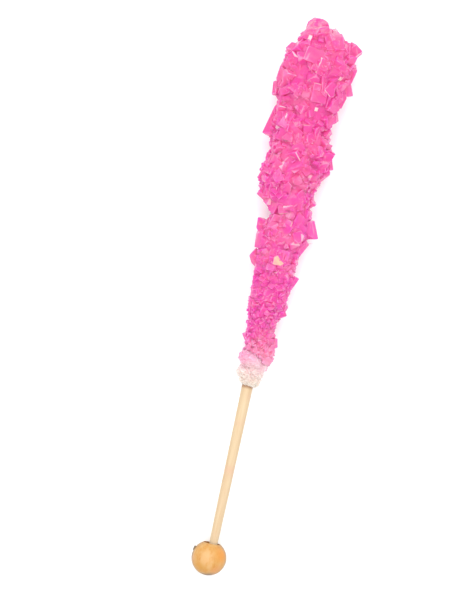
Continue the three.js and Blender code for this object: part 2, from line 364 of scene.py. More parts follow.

# %% [markdown]
# ## The crystals in between
#
# Between the large crystals the sugar is full of middling and small ones. Most of them are sunk so
# deep that only a facet or two shows, which is why real rock candy looks like one piece of cracked
# ice and not like a heap of dice. They are thrown on the girth at random: the middling ones turn a
# flat face outward and fill the hollows, the small ones lie in any direction, and fine ones are added
# at the foot. A short row of them, set one by one, closes the seam between the foot and the collar.

# %% Middling and small crystals
MIDDLING = dict(seed=311, count=560, sizes=(3.2, 7.4), tops=(0.9, 0.11), tumble=0.9, edge_width=0.16)
SMALL = dict(seed=905, count=1050, sizes=(1.2, 3.0), tops=(0.95, 0.1), tumble=2.2, edge_width=0.1)
FINE = dict(seed=38, count=760, sizes=(3.6, 6.0), tops=(0.99, 0.11), tumble=2.2, edge_width=0.08, last=98)
SMALLER_AT_FOOT = 0.26
WIDEST = 11
WIDEST_SHARE = 0.72
LAST_STREWN = 166
STREWN_SKEW, STREWN_STRETCH, STREWN_THICKNESS = 1.5, 0.5, (0.5, 0.4)


def strewn_crystals(seed, count, sizes, tops, tumble, edge_width, last=LAST_STREWN):
    """Places of crystals thrown on the girth, their tops at a share of the radius."""
    draw = make_draw(seed)
    placed = []
    while len(placed) < count:
        at = CANDY_START + (last - CANDY_START) * draw()
        radius, lean, slope = girth_at(at)
        if draw() > radius / WIDEST:
            continue
        share = (at - CANDY_START) / (CANDY_END - CANDY_START)
        size = sizes[0] + (sizes[1] - sizes[0]) * draw() ** STREWN_SKEW
        size *= SMALLER_AT_FOOT + (1 - SMALLER_AT_FOOT) * share
        size = min(size, WIDEST_SHARE * radius)
        length = size * (1 + STREWN_STRETCH * draw())
        angle = 2 * math.pi * draw()
        reach = radius * (tops[0] + tops[1] * draw()) - 0.5 * length
        outward = Vector((math.cos(angle), -slope, math.sin(angle))).normalized()
        wander = Vector((draw() - 0.5, draw() - 0.5, draw() - 0.5))
        placed.append(dict(
            middle=Vector((lean + reach * math.cos(angle), at, reach * math.sin(angle))),
            pointing=(outward + wander * tumble).normalized(),
            roll=2 * math.pi * draw(),
            sizes=Vector((size, size * (STREWN_THICKNESS[0] + STREWN_THICKNESS[1] * draw()), length)),
            edge_width=edge_width,
        ))
    return placed


SEAM = [
    (66.4, -1.9, 2.6, 1.8),
    (66.1, -0.4, 3.2, 2.0),
    (65.6, 0.9, 3.4, 2.0),
    (64.9, 2.0, 3.2, 2.0),
    (63.8, 3.1, 2.4, 2.0),
    (64.4, 4.1, 2.2, 2.4),
]
SEAM_TURNS, SEAM_RISE = (2.1, 1.3, 0.8), 1.2
SEAM_THICKNESS, SEAM_STRETCH = 0.8, 1.2
strewn = strewn_crystals(**MIDDLING) + strewn_crystals(**SMALL) + strewn_crystals(**FINE)
for index, (along, across, up, size) in enumerate(SEAM):
    strewn.append(dict(
        middle=Vector((across, along, up)),
        pointing=Vector((
            math.sin(SEAM_TURNS[0] * index), math.cos(SEAM_TURNS[1] * index), SEAM_RISE,
        )).normalized(),
        roll=SEAM_TURNS[2] * index,
        sizes=Vector((size, SEAM_THICKNESS * size, SEAM_STRETCH * size)),
        edge_width=FINE["edge_width"],
    ))
print(len(strewn), "middling and small crystals")

# %% [markdown]
# ## Growing together
#
# Real crystals grow into each other, so no walls are left inside the candy. One Boolean union does
# the same. It matters for the look: light that enters the sugar has to wander through one solid
# body, and hidden inner walls would stop it and leave dark patches.

# %% Join crystals into one body
def as_object(shape, name, group=None):
    """Turns a bmesh into an object in a collection and frees the bmesh."""
    mesh = bpy.data.meshes.new(name)
    shape.to_mesh(mesh)
    shape.free()
    made = bpy.data.objects.new(name, mesh)
    (group or bpy.context.scene.collection).objects.link(made)
    return made


def marked(piece, name, value):
    """Gives every face of a piece the same value of an attribute, which outlives a join or a cut."""
    layer = piece.data.attributes.new(name, "FLOAT", "FACE")
    layer.data.foreach_set("value", [value] * len(piece.data.polygons))
    return piece


def joined(body, tools, operation, name):
    """A new object: a body with a collection of tools joined to it or cut from it."""
    cut = body.modifiers.new(operation, "BOOLEAN")
    cut.operation = operation
    cut.operand_type = "COLLECTION"
    cut.collection = tools
    cut.solver = "MANIFOLD"
    depsgraph = bpy.context.evaluated_depsgraph_get()
    mesh = bpy.data.meshes.new_from_object(body.evaluated_get(depsgraph))
    for tool in list(tools.objects):
        bpy.data.objects.remove(tool)
    bpy.data.collections.remove(tools)
    bpy.data.objects.remove(body)
    made = bpy.data.objects.new(name, mesh)
    bpy.context.scene.collection.objects.link(made)
    return made


def new_group(name):
    """A collection for tools that are used up in one join or cut."""
    group = bpy.data.collections.new(name)
    bpy.context.scene.collection.children.link(group)
    return group


def grow_together(core, crystals, name, tints):
    """One closed mesh from a core and the crystals on it."""
    group = new_group(name + "_crystals")
    for i, crystal in enumerate(crystals):
        marked(as_object(grow_crystal(**crystal), f"{name}_{i}", group), "tint", tints())
    return joined(core, group, "UNION", name)


SLAB_SIZE = 400


def cut_at_table(piece):
    """Cuts off what would reach below the table, and returns the cut piece."""
    slab = bmesh.new()
    bmesh.ops.create_cube(slab, size=SLAB_SIZE)
    bmesh.ops.translate(slab, verts=slab.verts, vec=(0, 0, -SLAB_SIZE / 2))
    bmesh.ops.transform(slab, matrix=stick_to_table.inverted(), verts=slab.verts)
    group = new_group(piece.name + "_table")
    as_object(slab, "slab", group)
    return joined(piece, group, "DIFFERENCE", piece.name)


# %% [markdown]
# Round things are spun from a profile, as a lathe turns them: the candy's core, the stick and the ball.

# %% A turned body
SPUN_STEPS = 48
SAME_POINT = 1e-4


def spun(profile, steps=SPUN_STEPS):
    """A closed bmesh turned round the stick from (along, radius) points that start and end on it."""
    shape = bmesh.new()
    points = [shape.verts.new((radius, along, 0)) for along, radius in profile]
    edges = [shape.edges.new(pair) for pair in zip(points, points[1:])]
    bmesh.ops.spin(shape, geom=points + edges, cent=(0, 0, 0), axis=(0, 1, 0),
                   angle=2 * math.pi, steps=steps, use_merge=True)
    bmesh.ops.remove_doubles(shape, verts=shape.verts, dist=SAME_POINT)
    bmesh.ops.recalc_face_normals(shape, faces=shape.faces)
    return shape


# %% [markdown]
# The core follows the girth, and only shows at the bottom of the deepest hollows. All the crystals are
# joined to it in one go, and the lowest ones are cut flat where they'd reach below the table.

# %% The candy's core and the whole candy
CORE_SHARE, CORE_SHARE_AT_FOOT, CORE_FOOT_END = 0.93, 0.88, 90
CORE_LUMP_HEIGHT, CORE_LUMP_SCALE = 0.16, 0.3
CORE_SHORT_OF_START, CORE_SHORT_OF_END, CORE_CAP = 0.6, 1.5, 0.5
CORE_LEAST, CORE_RINGS = 1.2, 100
CORE_TINT, CANDY_TINT_SEED = 0.5, 17
core_stations = np.linspace(CANDY_START + CORE_SHORT_OF_START, CANDY_END - CORE_SHORT_OF_END, CORE_RINGS)
core_shares = np.interp(core_stations, (CANDY_START, CORE_FOOT_END), (CORE_SHARE_AT_FOOT, CORE_SHARE))
core_shape = spun(
    [(core_stations[0], 0.0)]
    + [(y, max(share * girth_at(y)[0], CORE_LEAST)) for y, share in zip(core_stations, core_shares)]
    + [(core_stations[-1] + CORE_CAP, 0.0)]
)
for vertex in core_shape.verts:
    lump = 1 + CORE_LUMP_HEIGHT * perlin.noise(vertex.co * CORE_LUMP_SCALE)
    vertex.co.x = vertex.co.x * lump + girth_at(vertex.co.y)[1]
    vertex.co.z *= lump
candy_core = marked(as_object(core_shape, "candy_core"), "tint", CORE_TINT)
candy = grow_together(candy_core, large_crystals + strewn, "candy", make_draw(CANDY_TINT_SEED))
candy = cut_at_table(candy)
print("candy:", len(candy.data.polygons), "faces,",
      sum(len(face.vertices) - 2 for face in candy.data.polygons), "triangles")

# %% [markdown]
# Wherever the light comes from, a few small facets throw it straight back and look white. Here such
# glints are painted: marked facets are painted near-white, as painted highlights. On the shown side
# their places are listed: distance along the stick, distance across and brightness.

# %% Places of the painted glints
GLINTS = [
    (169, -1.5, 0.5),
    (165, -4, 1.0),
    (163, 10.5, 0.5),
    (159, -3, 0.5),
    (158, -8, 0.8),
    (155, 0, 0.9),
    (155, 8.5, 0.9),
    (151, 1.5, 0.7),
    (149.5, 5.5, 0.6),
    (146.5, 10, 0.6),
    (143, 2, 1.0),
    (142, -8, 0.6),
    (139.5, -6, 0.9),
    (137.5, 1.5, 0.5),
    (134.5, -6.5, 0.6),
    (127.5, 0, 0.6),
    (123.5, -4.5, 0.6),
    (122.5, 5, 0.6),
    (113.5, 0, 0.8),
    (112, -6, 0.6),
    (109.5, 1.5, 0.6),
    (107, 3, 0.7),
    (106.5, -4, 0.5),
    (104, 6, 0.6),
    (100, 5.5, 0.5),
    (91.5, 1.5, 0.5),
    (80.5, 5, 0.7),
    (72.5, 4, 0.5),
]
print(len(GLINTS), "glints on the shown side")

# %% [markdown]
# Rays are shot straight down round each spot. Of the facets that they meet, the one that is largest,
# longest and nearest, and still small enough, is marked, and the material paints it near-white as a
# highlight.

# %% Facets painted as highlights on the shown side
GLINT_REACH, GLINT_STEP = 1.2, 0.2
GLINT_AREA = (0.3, 2.4)
STRETCH_GAIN, STRETCH_LIMIT = 0.15, 6
RAY_START = 50


def stretch(mesh, face):
    """How many times longer than wide a facet is, about."""
    length = max((mesh.vertices[a].co - mesh.vertices[b].co).length for a, b in face.edge_keys)
    return length * length / face.area


def facets_seen(tree, across, along):
    """Indices of the facets that are seen from above round a spot."""
    seen = set()
    for x in np.arange(across - GLINT_REACH, across + GLINT_REACH, GLINT_STEP):
        for y in np.arange(along - GLINT_REACH, along + GLINT_REACH, GLINT_STEP):
            _, _, index, _ = tree.ray_cast(Vector((x, y, RAY_START)), Vector((0, 0, -1)))
            if index is not None:
                seen.add(index)
    return sorted(seen)


def can_glint(face):
    """Whether a facet has the size of one that is painted near-white as a highlight."""
    return GLINT_AREA[0] < face.area < GLINT_AREA[1]


# Facets marked here are painted near-white: painted highlights.
painted_glint_mark = candy.data.attributes.new("painted_glint", "FLOAT", "FACE")
facets = candy.data.polygons
sight = BVHTree.FromObject(candy, bpy.context.evaluated_depsgraph_get())
placed_glints = 0
for along, across, strength in GLINTS:
    fitting = [facets[index] for index in facets_seen(sight, across, along) if can_glint(facets[index])]
    if fitting:
        best = max(fitting, key=lambda face: face.area
                   + STRETCH_GAIN * min(stretch(candy.data, face), STRETCH_LIMIT)
                   - (face.center.xy - Vector((across, along))).length)
        painted_glint_mark.data[best.index].value = strength
        placed_glints += 1
print(placed_glints, "placed glints of", len(GLINTS))

# %% [markdown]
# The other sides have some too. There the rays come from random places round the lower half, and a
# facet that one of them meets is marked to be painted near-white if it's small enough.

# %% Facets painted as highlights elsewhere
GLINT_SEED, GLINT_RAYS, GLINT_STRENGTH = 77, 200, (0.4, 0.6)
draw_glint = make_draw(GLINT_SEED)
more_glints = 0
for _ in range(GLINT_RAYS):
    along = CANDY_START + (CANDY_END - CANDY_START) * draw_glint()
    angle = math.pi * (1 + draw_glint())
    strength = GLINT_STRENGTH[0] + GLINT_STRENGTH[1] * draw_glint()
    outward = Vector((math.cos(angle), 0, math.sin(angle)))
    start = Vector((girth_at(along)[1], along, 0)) + RAY_START * outward
    _, _, index, _ = sight.ray_cast(start, -outward)
    if index is not None and can_glint(facets[index]):
        painted_glint_mark.data[index].value = strength
        more_glints += 1
print(more_glints, "more glints elsewhere")

# %% [markdown]
# One broad facet on the upper side is painted paler than all others: a painted reflection. It's sought
# out by its place: of the facets that face up near it, the highest large one is marked as well.

# %% The broad facet with a painted pale reflection
PALE_REACH, PALE_AREA, PALE_SLOPE = 1.7, 1.5, 0.5
facing_up = [
    face for face in facets
    if face.normal.z > PALE_SLOPE and face.area > PALE_AREA
    and (face.center.xy - PALE_SPOT).length < PALE_REACH
]
pale_facet = max(facing_up, key=lambda face: face.center.z)
candy.data.attributes.new("painted_reflection", "FLOAT", "FACE").data[pale_facet.index].value = 1.0
print("the pale facet has", round(pale_facet.area, 1), "mm2")
set_down(candy, "crystal_candy")

# %% [markdown]
# ## The collar of fine sugar
#
# The stick is first dipped and rolled in dry sugar, to give the crystals something to grow on. Below
# the syrup that sugar stays as it was: a lumpy collar of fine grains, cream where it's bare and pink
# where the syrup crept up. A few lumps are dented by a smooth noise, covered with grains and joined.
# The top ones lean to the left and grow into the foot of the candy.

# %% Lumps of the collar
COLLAR_LUMPS = [
    (57.4, 0.5, 0.0, 2.5, 3.1, 0.0),
    (59.2, -0.3, 0.2, 2.5, 3.8, 0.0),
    (63.2, -0.7, 1.6, 2.5, 3.4, 0.2),
    (60.6, 1.2, 1.6, 3.0, 2.4, 0.12),
    (61.9, 2.4, 1.6, 1.9, 1.8, 0.12),
    (63.4, 0.6, 2.9, 2.0, 2.1, 0.4),
]
DENT_DEPTH, DENT_REACH, DENT_SCALE = 0.16, 4, 0.5
LUMP_DETAIL = 4


def lump_point(lump, direction):
    """Where a direction from a lump's middle meets its surface."""
    along, across, up, half_length, half_width, tilt = lump
    read_at = (direction * DENT_REACH + Vector((along, across, up))) * DENT_SCALE
    dent = 1 + DENT_DEPTH * perlin.noise(read_at)
    reach = Vector((half_width * direction.x, half_length * direction.y, half_width * direction.z)) * dent
    return Vector((across, along - tilt * reach.x, up)) + reach


def lump_core(lump):
    """A bmesh of one dented lump."""
    shape = bmesh.new()
    bmesh.ops.create_icosphere(shape, subdivisions=LUMP_DETAIL, radius=1)
    for vertex in shape.verts:
        vertex.co = lump_point(lump, vertex.co.normalized())
    return shape


print("the top lump ends at", round(lump_point(COLLAR_LUMPS[2], Vector((0, 1, 0))).y, 1), "mm")

# %% [markdown]
# The grains are thrown on the lumps evenly: coarse ones first, then a few thousand fine ones. A
# direction drawn from a cube is kept only where it falls in the ball inside it, or else the corners
# would get more than their share.

# %% Grains of the collar
GRAIN_SEED = 431
COARSE_GRAINS, COARSE_SIZES, COARSE_SUNK = 34, (0.9, 1.9), 0.3
FINE_GRAINS, FINE_SIZES, FINE_SUNK = 820, (0.35, 0.85), 0.15
GRAIN_BREADTH, GRAIN_THICKNESS = 0.9, (0.6, 0.3)
NEAREST, FARTHEST = 0.05, 0.5
COLLAR_TINT, COLLAR_TINT_SEED = 0.5, 23
draw_grain = make_draw(GRAIN_SEED)


def drawn_direction():
    """A direction, each one as likely as any other."""
    while True:
        direction = Vector((draw_grain() - 0.5, draw_grain() - 0.5, draw_grain() - 0.5))
        if NEAREST < direction.length < FARTHEST:
            return direction.normalized()


def collar_grains(lump, count, sizes, sunk):
    """Grains thrown on a lump, in mm, sunk by a share of their size. Most are small."""
    placed = []
    for _ in range(count):
        direction = drawn_direction()
        size = sizes[0] + (sizes[1] - sizes[0]) * draw_grain() ** 2
        placed.append(dict(
            middle=lump_point(lump, direction) - direction * sunk * size,
            pointing=(direction + drawn_direction()).normalized(),
            roll=2 * math.pi * draw_grain(),
            sizes=Vector((
                size * GRAIN_BREADTH, size * (GRAIN_THICKNESS[0] + GRAIN_THICKNESS[1] * draw_grain()), size,
            )),
            edge_width=0,
        ))
    return placed


grains = []
for lump in COLLAR_LUMPS:
    grains += collar_grains(lump, COARSE_GRAINS, COARSE_SIZES, COARSE_SUNK)
    grains += collar_grains(lump, FINE_GRAINS, FINE_SIZES, FINE_SUNK)
lumps = new_group("collar_lumps")
for lump in COLLAR_LUMPS[1:]:
    as_object(lump_core(lump), "lump", lumps)
collar_core = joined(as_object(lump_core(COLLAR_LUMPS[0]), "lump"), lumps, "UNION", "collar_core")
marked(collar_core, "tint", COLLAR_TINT)
collar = grow_together(collar_core, grains, "collar", make_draw(COLLAR_TINT_SEED))
print("collar:", len(collar.data.polygons), "faces from", len(grains), "grains")
set_down(collar, "sugar_collar")

# %% [markdown]
# ## The stick
#
# A birch dowel, milled round: it's thinner at the ball than at the sugar, and the mill leaves it a
# little uneven, which the eye reads as wood rather than plastic. It's spun with many rings, and each
# ring is nudged by a slow wave.

# %% The wooden stick
STICK_FOOT, STICK_END, STICK_EDGE = 1.25, 157.0, 0.3
STICK_STATIONS, STICK_RADII = (5, 20, 55), (1.35, 1.53, 1.75)
STICK_WOBBLE, STICK_WAVES = 0.035, ((2, 0.09), (3, -0.05))
STICK_RINGS = 90
rings = np.linspace(STICK_FOOT + STICK_EDGE, STICK_END - STICK_EDGE, STICK_RINGS)
stick_shape = spun(
    [(STICK_FOOT, 0.0), (STICK_FOOT, STICK_RADII[0] - STICK_EDGE)]
    + [(y, np.interp(y, STICK_STATIONS, STICK_RADII)) for y in rings]
    + [(STICK_END, STICK_RADII[-1] - STICK_EDGE), (STICK_END, 0.0)]
)
for vertex in stick_shape.verts:
    round_turn = math.atan2(vertex.co.z, vertex.co.x)
    wobble = sum(math.sin(waves * round_turn + pitch * vertex.co.y) for waves, pitch in STICK_WAVES)
    swell = 1 - 0.5 * STICK_WOBBLE * (1 + 0.5 * wobble) / STICK_RADII[0]
    vertex.co.x *= swell
    vertex.co.z *= swell
stick = as_object(stick_shape, "stick")
stick.data.polygons.foreach_set("use_smooth", [True] * len(stick.data.polygons))
print("stick:", len(stick.data.polygons), "faces in", STICK_RINGS, "rings")
set_down(stick, "wood_stick")

# %% [markdown]
# ## The ball
#
# The ball is turned on a lathe and drilled: the drill leaves a shallow dish round the hole, painted dark
# as shade in the recess. The drill missed the ball's middle a little, and so did the dish, which shows
# as two dark arcs of unlike width beside the stick.

# %% The wooden ball
BALL_OFF_CENTRE = -0.4
LAND_RADIUS = 2.7
DISH_DEPTH = 1.1
DISH_LIP, DISH_FLOOR_RADIUS, DISH_LIP_RADII = 0.3, 2.15, (2.5, 2.75)
HOLE_RADIUS, HOLE_DEPTH, HOLE_PROUD = 1.5, 3.85, 1
BALL_RINGS, BALL_STEPS = 44, 72
SPLINTER_MIDDLE, SPLINTER_HEADING = Vector((-5.1, 2.15, 0.3)), Vector((0.1, 0.97, 0.2)).normalized()
SPLINTER_SIZES, SPLINTER_ROLL, SPLINTER_EDGE = Vector((0.5, 0.5, 1.5)), 0.4, 0.08
land_angle = math.asin(LAND_RADIUS / BALL_RADIUS)
land_along = BALL_RADIUS * math.cos(land_angle)
ball_shape = spun(
    [
        (BALL_RADIUS * math.cos(a), BALL_RADIUS * math.sin(a) if a < math.pi else 0.0)
        for a in np.linspace(math.pi, land_angle, BALL_RINGS)
    ] + [(land_along, 0.0)],
    BALL_STEPS,
)
ball_cuts = new_group("ball_cuts")
dish = as_object(spun([
    (land_along - DISH_DEPTH, 0.0),
    (land_along - DISH_DEPTH, DISH_FLOOR_RADIUS),
    (land_along - DISH_LIP, DISH_LIP_RADII[0]),
    (land_along + DISH_LIP, DISH_LIP_RADII[1]),
    (land_along + DISH_LIP, 0.0),
]), "dish", ball_cuts)
# The dish and the hole are marked so that the material paints them dark brown as shade.
marked(dish, "shaded_bore", 1.0)
hole = spun([
    (land_along - HOLE_DEPTH, 0.0),
    (land_along - HOLE_DEPTH, HOLE_RADIUS),
    (land_along + HOLE_PROUD, HOLE_RADIUS),
    (land_along + HOLE_PROUD, 0.0),
])
bmesh.ops.translate(hole, verts=hole.verts, vec=(-BALL_OFF_CENTRE, 0, 0))
marked(as_object(hole, "hole", ball_cuts), "shaded_bore", 1.0)
splinters = new_group("splinters")
splinter = grow_crystal(SPLINTER_MIDDLE, SPLINTER_HEADING, SPLINTER_ROLL, SPLINTER_SIZES,
                        edge_width=SPLINTER_EDGE)
marked(as_object(splinter, "splinter", splinters), "torn", 1.0)
ball = joined(as_object(ball_shape, "turned_ball"), splinters, "UNION", "ball")
ball = joined(ball, ball_cuts, "DIFFERENCE", "ball")
ball.data.transform(Matrix.Translation((BALL_OFF_CENTRE, BALL_CENTRE_ALONG, 0)))
ball = cut_at_table(ball)
set_down(ball, "wood_ball")

# %% [markdown]
# The ball is round but its cuts are crisp. Every face is shaded smoothly, and only the edges where two
# faces meet at a plain angle are marked as sharp.

# %% Round faces shade smoothly, cut edges stay sharp
SHARP_ANGLE = math.radians(35)
edges = bmesh.new()
edges.from_mesh(ball.data)
for edge in edges.edges:
    edge.smooth = len(edge.link_faces) == 2 and edge.calc_face_angle() < SHARP_ANGLE
for face in edges.faces:
    face.smooth = True
edges.to_mesh(ball.data)
edges.free()
print("ball:", len(ball.data.polygons), "faces")

# %% [markdown]
# ## Materials
#
# Every finish is a small tree of nodes that ends in a Principled shader. A few helpers keep each tree
# readable. The first ones start a tree and add a node to it: a socket gets a number or a colour, or a
# link from another node.

# %% A material and its nodes
def new_material(name):
    """A material with an empty node tree, its Principled shader and its output."""
    material = bpy.data.materials.new(name)
    material.use_nodes = True
    nodes = material.node_tree.nodes
    nodes.clear()
    output = nodes.new("ShaderNodeOutputMaterial")
    shader = nodes.new("ShaderNodeBsdfPrincipled")
    material.node_tree.links.new(shader.outputs["BSDF"], output.inputs["Surface"])
    return material, shader


def add_node(material, kind, values=None, **settings):
    """Adds a node, sets its fields, and fills its sockets with values or with other sockets."""
    node = material.node_tree.nodes.new(kind)
    for field, value in settings.items():
        setattr(node, field, value)
    for socket, value in (values or {}).items():
        if isinstance(value, bpy.types.NodeSocket):
            material.node_tree.links.new(value, node.inputs[socket])
        else:
            node.inputs[socket].default_value = value
    return node


def math_node(material, operation, *values):
    """A Math node over numbers or sockets."""
    return add_node(material, "ShaderNodeMath", dict(enumerate(values)), operation=operation).outputs[0]


# %% [markdown]
# Colours are written as a screen shows them, from 0 to 255, and turned into the linear light that the
# shader works with. They're laid out on a ramp or mixed. The sockets of a Mix node share their names,
# so they're told apart by number.

# %% Colours
MIX_FACTOR, MIX_FIRST, MIX_SECOND, MIX_RESULT = 0, 6, 7, 2


def linear(red, green, blue):
    """The linear colour of an sRGB colour given from 0 to 255."""
    parts = [c / 255 for c in (red, green, blue)]
    return tuple(c / 12.92 if c <= 0.04045 else ((c + 0.055) / 1.055) ** 2.4 for c in parts) + (1.0,)


def colour_ramp(material, factor, stops):
    """A colour ramp over a factor socket, from (place, sRGB colour) stops."""
    ramp = add_node(material, "ShaderNodeValToRGB", {"Fac": factor})
    elements = ramp.color_ramp.elements
    while len(elements) < len(stops):
        elements.new(0.5)
    for element, (place, colour) in zip(elements, stops):
        element.position = place
        element.color = linear(*colour)
    return ramp.outputs["Color"]


def mixed(material, factor, first, second):
    """Two colours mixed by a factor."""
    values = {MIX_FACTOR: factor, MIX_FIRST: first, MIX_SECOND: second}
    return add_node(material, "ShaderNodeMix", values, data_type="RGBA").outputs[MIX_RESULT]


# %% [markdown]
# What a colour depends on is read from the place on the piece, from a noise over that place, or from
# the marks that the faces got when the piece was made.

# %% Places, noises and marks
def place_on(material):
    """The piece's own coordinates, in metres."""
    return add_node(material, "ShaderNodeTexCoord").outputs["Object"]


def coordinate(material, place, axis):
    """One coordinate of a place socket, in metres. Y runs along the sweet."""
    return add_node(material, "ShaderNodeSeparateXYZ", {"Vector": place}).outputs[axis]


def noise(material, place, scale, detail=2.0, roughness=0.5):
    """A noise from 0 to 1 over a place socket, with features of about 1/scale metres."""
    return add_node(material, "ShaderNodeTexNoise", {
        "Vector": place, "Scale": scale, "Detail": detail, "Roughness": roughness,
    }).outputs["Fac"]


def share_between(material, value, low, high):
    """Where a value lies between two bounds, from 0 to 1, eased at both ends."""
    return add_node(material, "ShaderNodeMapRange", {
        "Value": value, "From Min": low, "From Max": high,
    }, interpolation_type="SMOOTHSTEP").outputs["Result"]


def nearness(material, place, spot, reach):
    """How near a place socket is to a spot, from 0 at the reach to 1. Spot and reach are in mm."""
    away = add_node(material, "ShaderNodeVectorMath", {
        0: place, 1: tuple(0.001 * c for c in spot),
    }, operation="DISTANCE").outputs["Value"]
    return share_between(material, away, 0.001 * reach, 0.0)


def mark_on(material, name):
    """The value of a face attribute."""
    return add_node(material, "ShaderNodeAttribute", attribute_name=name).outputs["Fac"]


# %% [markdown]
# At the end of each tree the surface gets its bumps, and the piece gets the finished material. What
# doesn't vary over the piece is set on the shader's own sockets.

# %% Bumps and dressing
def bumped(material, shader, height, distance, strength):
    """Turns a height socket into bumps of the shader's surface, with a depth in metres."""
    bump = add_node(material, "ShaderNodeBump", {
        "Height": height, "Distance": distance, "Strength": strength,
    })
    material.node_tree.links.new(bump.outputs["Normal"], shader.inputs["Normal"])


def dress(piece, material, shader, colour, sockets):
    """Links the colour, sets the shader's own sockets, and gives a piece its one material."""
    material.node_tree.links.new(colour, shader.inputs["Base Color"])
    for name, value in sockets.items():
        shader.inputs[name].default_value = value
    piece.data.materials.clear()
    piece.data.materials.append(material)
    print(piece.name, "wears", material.name, "of", len(material.node_tree.nodes), "nodes")


# %% [markdown]
# ### Pink sugar
#
# The syrup is dyed hot pink. Light goes a few millimetres into the sugar before it comes out again,
# so the candy seems to glow, and only a little darkness is left in the hollows. Each crystal leans a
# bit towards magenta or towards salmon, and the dye runs out towards the collar.

# %% The pink sugar
pink_sugar, sugar = new_material("pink_sugar")
place = place_on(pink_sugar)
tint = mark_on(pink_sugar, "tint")
drift = noise(pink_sugar, place, 120, 2)
cells = add_node(pink_sugar, "ShaderNodeTexVoronoi", {"Vector": place, "Scale": 420}, feature="F1")
cell = add_node(pink_sugar, "ShaderNodeSeparateColor", {"Color": cells.outputs["Color"]}).outputs["Red"]
own_way = add_node(pink_sugar, "ShaderNodeVectorRotate", {
    "Vector": place, "Axis": (0.48, 0.6, 0.64), "Angle": math_node(pink_sugar, "MULTIPLY", tint, 40.0),
})
drawn_out = add_node(pink_sugar, "ShaderNodeMapping", {
    "Vector": own_way.outputs["Vector"], "Scale": (1.0, 0.15, 0.5),
})
streaks = noise(pink_sugar, drawn_out.outputs["Vector"], 900, 2)
blend = math_node(pink_sugar, "ADD", math_node(pink_sugar, "MULTIPLY", tint, 0.16),
                  math_node(pink_sugar, "MULTIPLY", drift, 0.9))
blend = math_node(pink_sugar, "ADD", blend, math_node(pink_sugar, "MULTIPLY", cell, 0.14))
blend = math_node(pink_sugar, "ADD", blend, math_node(pink_sugar, "MULTIPLY", streaks, 0.2))
sugar_colour = colour_ramp(pink_sugar, blend, [
    (0.48, (221, 69, 160)),
    (0.64, (224, 84, 164)),
    (0.76, (226, 94, 157)),
    (0.96, (228, 118, 168)),
])
print("pink sugar has", len(pink_sugar.node_tree.nodes), "nodes so far")

# %% [markdown]
# Over that come the things that have their places: a warmer head, pale streaks and pale edges that are
# painted highlights, the painted glints and the broad facet's painted pale reflection, painted pale
# streaks at the tip, and the foot where the dye runs out.

# %% Head, painted highlights on streaks, edges, glints, tip and pale facet, and the foot
along = coordinate(pink_sugar, place, "Y")
warmer = math_node(pink_sugar, "MULTIPLY", share_between(pink_sugar, along, 0.02, 0.05), 0.35)
sugar_colour = mixed(pink_sugar, warmer, sugar_colour, linear(226, 80, 144))
# Painted highlights: pale streaks inside the crystals and pale edge faces stand in for light refracted
# inside and caught at edges.
pale = math_node(pink_sugar, "MULTIPLY", share_between(pink_sugar, streaks, 0.62, 0.72), 0.4)
edge_highlight = math_node(pink_sugar, "MULTIPLY", mark_on(pink_sugar, "edge"),
                 share_between(pink_sugar, streaks, 0.42, 0.62))
pale = math_node(pink_sugar, "MAXIMUM", pale, math_node(pink_sugar, "MULTIPLY", edge_highlight, 0.35))
sugar_colour = mixed(pink_sugar, pale, sugar_colour, linear(231, 177, 196))
# Painted highlights: facets marked as glints are painted near-white.
sugar_colour = mixed(pink_sugar, mark_on(pink_sugar, "painted_glint"), sugar_colour, linear(244, 214, 216))
# Painted reflection: the broad facet is painted pale cream.
painted_reflection = math_node(pink_sugar, "MULTIPLY", mark_on(pink_sugar, "painted_reflection"),
                  math_node(pink_sugar, "ADD", streaks, 0.3))
sugar_colour = mixed(pink_sugar, painted_reflection, sugar_colour, linear(242, 192, 166))
# Painted highlights: pale streaks at the tip stand in for light refracted in the top crystal.
at_tip = share_between(pink_sugar, along, 0.0815, 0.086)
painted_tip_streaks = math_node(pink_sugar, "MULTIPLY", at_tip, share_between(pink_sugar, streaks, 0.4, 0.6))
sugar_colour = mixed(pink_sugar, math_node(pink_sugar, "MULTIPLY", painted_tip_streaks, 0.6), sugar_colour,
                     linear(218, 166, 178))
dyed = share_between(pink_sugar, along, -0.0235, -0.0095)
sugar_colour = mixed(pink_sugar, dyed, linear(232, 156, 180), sugar_colour)
cracks = add_node(pink_sugar, "ShaderNodeTexVoronoi", {"Vector": place, "Scale": 480},
                  feature="F1", distance="CHEBYCHEV").outputs["Distance"]
relief = math_node(pink_sugar, "ADD", cracks, math_node(pink_sugar, "MULTIPLY", streaks, 0.25))
bumped(pink_sugar, sugar, relief, 0.0005, 0.3)
dress(candy, pink_sugar, sugar, sugar_colour, {
    "Roughness": 0.12,
    "IOR": 1.5,
    "Specular IOR Level": 0.25,
    "Subsurface Weight": 1.0,
    "Subsurface Radius": (1.0, 0.5, 0.75),
    "Subsurface Scale": 0.003,
    "Transmission Weight": 0.15,
})

# %% [markdown]
# ### Fine sugar
#
# Undyed sugar is white in powder and cream on wood. The grains are frosty, because each is rough from
# its neighbours. The collar's upper left end took up the most syrup, so a patch of it is dyed deeper.

